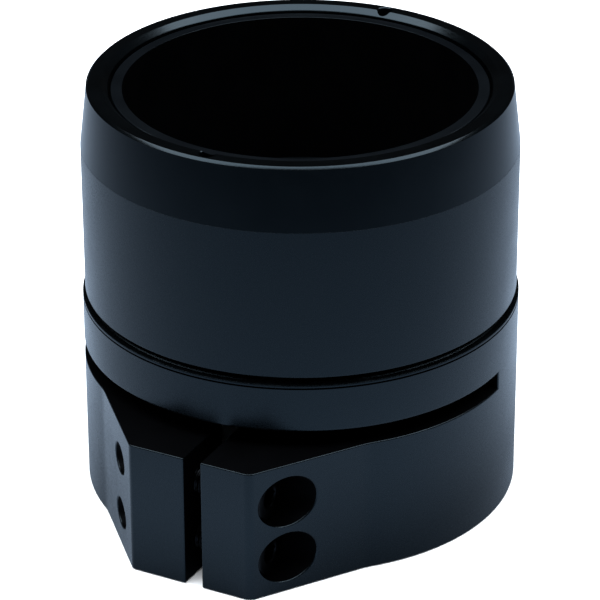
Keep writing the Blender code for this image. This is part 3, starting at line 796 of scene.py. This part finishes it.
# ---- lens cell and optics -------------------------------------------------
def make_cell():
    g = 24.50
    prof = rounded([(CELL_R, CELL_Z0, 0.2), (CELL_R, 27.0, 0.05), (g, 27.0, 0.0), (g, 29.2, 0.0),
                    (CELL_R, 29.2, 0.05), (CELL_R, 32.0, 0.05), (g, 32.0, 0.0), (g, 34.2, 0.0),
                    (CELL_R, 34.2, 0.05), (CELL_R, CELL_Z1, 0.2), (CELL_BORE_R, CELL_Z1, 0.2),
                    (CELL_BORE_R, 27.2, 0.0), (CELL_SEAT_R, 27.2, 0.06),
                    (CELL_SEAT_R, CELL_Z0, 0.15)], 0.0)
    tools = []
    for az in PIN_AZ:
        hole = turned([(0, 22.0), (1.15, 22.0), (1.15, 26.0), (0, 26.0)], 32, "X")
        tools.append(("DIFFERENCE", moved(hole, (0, 0, PIN_Z), math.radians(az))))
    return combine(revolve(prof, 240), tools)


finished("lens_barrel", make_cell(), mat_cell, "cell", "lens_cell")
ring("glide_band_lower", 24.65, 25.25, 27.10, 29.10, mat_ptfe, "cell", "cell_glide_band_lower")
ring("glide_band_upper", 24.65, 25.25, 32.10, 34.10, mat_ptfe, "cell", "cell_glide_band_upper")

for tag, az in zip("abc", PIN_AZ):
    pts = rounded_open([(0, 23.15), (0.75, 23.15), (1.0, 23.40), (1.0, 25.20), (1.2, 25.20),
                        (1.2, 27.20), (FOLLOWER_R, 27.20), (FOLLOWER_R, 29.30, 0.28),
                        (0, 29.30)], 0.03)
    bm = moved(turned(pts, 56, "X"), (0, 0, PIN_Z), math.radians(az))
    finished("cam_follower_" + tag, bm, mat_brass, "cell", "cam_pin_" + tag)


def sag(r, radius):
    return radius - math.sqrt(radius * radius - r * r)


def lens_face(z_edge, bulge, steps=28):
    radius = (LENS_R ** 2 + bulge ** 2) / (2 * abs(bulge))
    s = 1 if bulge > 0 else -1
    return [(LENS_R * (1 - i / steps), z_edge + s * (abs(bulge) - sag(LENS_R * (1 - i / steps), radius)))
            for i in range(steps + 1)]


flint = [(0, 27.35), (LENS_R - 0.15, 27.35), (LENS_R, 27.50)] + lens_face(30.20, -1.60)
crown = list(reversed(lens_face(31.50, -2.00))) + lens_face(33.00, 2.00)
finished("rear_lens", turned(flint, 160), mat_flint, "cell", "lens_flint", weighted=False)
finished("front_lens", turned(crown, 160), mat_crown, "cell", "lens_crown", weighted=False)
ring("lens_shim", 21.4, LENS_R, 30.36, 30.96, mat_cell, "cell", "lens_spacer", n=192)


def make_retainer():
    z0, z1 = 33.60, 35.90
    prof = rounded([(LENS_R, z0, 0.08), (LENS_R, z1, 0.12), (21.4, z1, 0.06),
                    (21.0, z1 - 0.4, 0.06), (21.0, z0, 0.05)], 0.0)
    return combine(revolve(prof, 192), [("DIFFERENCE", block(-0.6, 0.6, -30, 30, z1 - 0.9, z1 + 1.0))])


finished("lens_lock_ring", make_retainer(), mat_cell, "cell", "lens_retainer")


# ---- studio ---------------------------------------------------------------
AZ = math.radians(27.3)                  # the viewer stands this far round from -Y
RIGHT = Vector((math.cos(AZ), math.sin(AZ), 0))
AHEAD = Vector((-math.sin(AZ), math.cos(AZ), 0))


# painted reflection: the floor's colour for glossy rays, with painted light and shade that change with
# distance from the object
FLOOR_PAINTED_REFLECTION = (0.233, 0.283, 0.350)
FLOOR_PAINTED_LIGHT_FADE = ((0.034, 0.80), (0.044, 1.12), (0.056, 1.42), (0.068, 1.40), (0.082, 1.12),
              (0.115, 1.0), (0.170, 0.80), (0.260, 0.34), (0.400, 0.17))
FLOOR_PAINTED_POOL_SHIFT = 0.0045
SOFT_L = 7.4


def studio():
    bm = bmesh.new()
    bmesh.ops.create_grid(bm, x_segments=1, y_segments=1, size=4.0)
    floor = make_object("floor", bm)
    floor.location = (0, 0, -0.0001)
    # The paper floor is white to camera and diffuse rays. Glossy rays see a painted reflection: a cooler,
    # dimmer sheet with painted contact shade right by the object and a painted pool of light a little further
    # out, fading away from the object as a lit table does.
    m = bpy.data.materials.new("pale_floor_and_painted_reflection")
    m.use_nodes = True
    nt = m.node_tree
    nt.nodes.clear()
    out = add(nt, "ShaderNodeOutputMaterial")
    lp = add(nt, "ShaderNodeLightPath")
    tc = add(nt, "ShaderNodeTexCoord").outputs["Object"]
    white = add(nt, "ShaderNodeBsdfDiffuse")
    nt.links.new(ramp(nt, noise(nt, tc, 3.0, 2.0), [(0.3, (0.90, 0.90, 0.90)),
                                                    (0.7, (0.93, 0.93, 0.93))]),
                 white.inputs["Color"])
    shift = add(nt, "ShaderNodeVectorMath", operation="SUBTRACT")
    shift.inputs[1].default_value = RIGHT * FLOOR_PAINTED_POOL_SHIFT
    nt.links.new(tc, shift.inputs[0])
    length = add(nt, "ShaderNodeVectorMath", operation="LENGTH")
    nt.links.new(shift.outputs["Vector"], length.inputs[0])
    span = add(nt, "ShaderNodeMath", operation="MULTIPLY")
    span.inputs[1].default_value = 2.0
    nt.links.new(length.outputs["Value"], span.inputs[0])
    painted_reflection = ramp(nt, span.outputs[0],
                 [(2 * r, tuple(c * k for c in FLOOR_PAINTED_REFLECTION)) for r, k in FLOOR_PAINTED_LIGHT_FADE])
    painted_reflection_bsdf = add(nt, "ShaderNodeBsdfDiffuse")
    nt.links.new(painted_reflection, painted_reflection_bsdf.inputs["Color"])
    pick = add(nt, "ShaderNodeMixShader")
    nt.links.new(lp.outputs["Is Glossy Ray"], pick.inputs[0])
    nt.links.new(white.outputs[0], pick.inputs[1])
    nt.links.new(painted_reflection_bsdf.outputs[0], pick.inputs[2])
    nt.links.new(pick.outputs[0], out.inputs["Surface"])
    floor.data.materials.append(m)

    def area(name, right, ahead, height, sx, sy, power, aim=(0, 0, 0.03)):
        data = bpy.data.lights.new(name, "AREA")
        data.shape, data.size, data.size_y, data.energy = "RECTANGLE", sx, sy, power
        data.color = (0.88, 0.94, 1.0)
        ob = bpy.data.objects.new(name, data)
        bpy.context.scene.collection.objects.link(ob)
        ob.location = RIGHT * right + AHEAD * ahead + Vector((0, 0, height))
        z = (ob.location - Vector(aim)).normalized()
        if abs(z.z) > 0.999:
            rot = Matrix((RIGHT, AHEAD, Vector((0, 0, 1)))).transposed()
            ob.rotation_euler = rot.to_euler()
        else:
            x = (RIGHT - z * RIGHT.dot(z)).normalized()
            ob.rotation_euler = Matrix((x, z.cross(x), z)).transposed().to_euler()
        return ob

    # radiance of a rectangular area light is power / (pi * size * size_y)
    w, d, h = 0.90, 0.36, 0.42
    area("softbox", 0.0, -0.02, h, w, d, SOFT_L * math.pi * w * d, aim=(0, 0, 0))
    bpy.data.objects["softbox"].location = AHEAD * -0.02 + Vector((0, 0, h))
    bpy.data.objects["softbox"].rotation_euler = (0, 0, AZ)

    world = bpy.data.worlds.new("studio")
    bpy.context.scene.world = world
    world.use_nodes = True
    nt = world.node_tree
    nt.nodes.clear()
    out = add(nt, "ShaderNodeOutputWorld")
    lp = add(nt, "ShaderNodeLightPath")
    soft = add(nt, "ShaderNodeBackground")
    soft.inputs["Color"].default_value = (0.97, 0.985, 1.0, 1)
    soft.inputs["Strength"].default_value = 1.05
    gloss = add(nt, "ShaderNodeBackground")
    gloss.inputs["Color"].default_value = (0.95, 0.98, 1.0, 1)
    gloss.inputs["Strength"].default_value = 0.018
    seen = add(nt, "ShaderNodeBackground")
    seen.inputs["Color"].default_value = (1.0, 1.0, 1.0, 1)
    seen.inputs["Strength"].default_value = 1.0
    mix1 = add(nt, "ShaderNodeMixShader")
    mix2 = add(nt, "ShaderNodeMixShader")
    nt.links.new(lp.outputs["Is Glossy Ray"], mix1.inputs[0])
    nt.links.new(soft.outputs[0], mix1.inputs[1])
    nt.links.new(gloss.outputs[0], mix1.inputs[2])
    nt.links.new(lp.outputs["Is Camera Ray"], mix2.inputs[0])
    nt.links.new(mix1.outputs[0], mix2.inputs[1])
    nt.links.new(seen.outputs[0], mix2.inputs[2])
    nt.links.new(mix2.outputs[0], out.inputs["Surface"])

    cam_data = bpy.data.cameras.new("camera")
    cam = bpy.data.objects.new("camera", cam_data)
    bpy.context.scene.collection.objects.link(cam)
    cam_data.sensor_width = 36.0
    cam_data.lens = 199.20
    cam_data.clip_start, cam_data.clip_end = 0.02, 20.0
    dist, tilt, roll = 0.43546, math.radians(26.952), math.radians(-0.189)
    pan = math.radians(0.0175)
    cam.location = AHEAD * -dist + Vector((0, 0, 0.24866))
    ahead = AHEAD * math.cos(pan) - RIGHT * math.sin(pan)
    right = RIGHT * math.cos(pan) + AHEAD * math.sin(pan)
    fwd = ahead * math.cos(tilt) - Vector((0, 0, math.sin(tilt)))
    rot = Matrix((right, right.cross(fwd), -fwd)).transposed()
    cam.rotation_mode = "QUATERNION"
    cam.rotation_quaternion = rot.to_quaternion() @ Quaternion((0, 0, 1), roll)
    bpy.context.scene.camera = cam
    vs = bpy.context.scene.view_settings
    vs.view_transform, vs.look, vs.exposure, vs.gamma = "Standard", "None", 0.0, 1.0


studio()
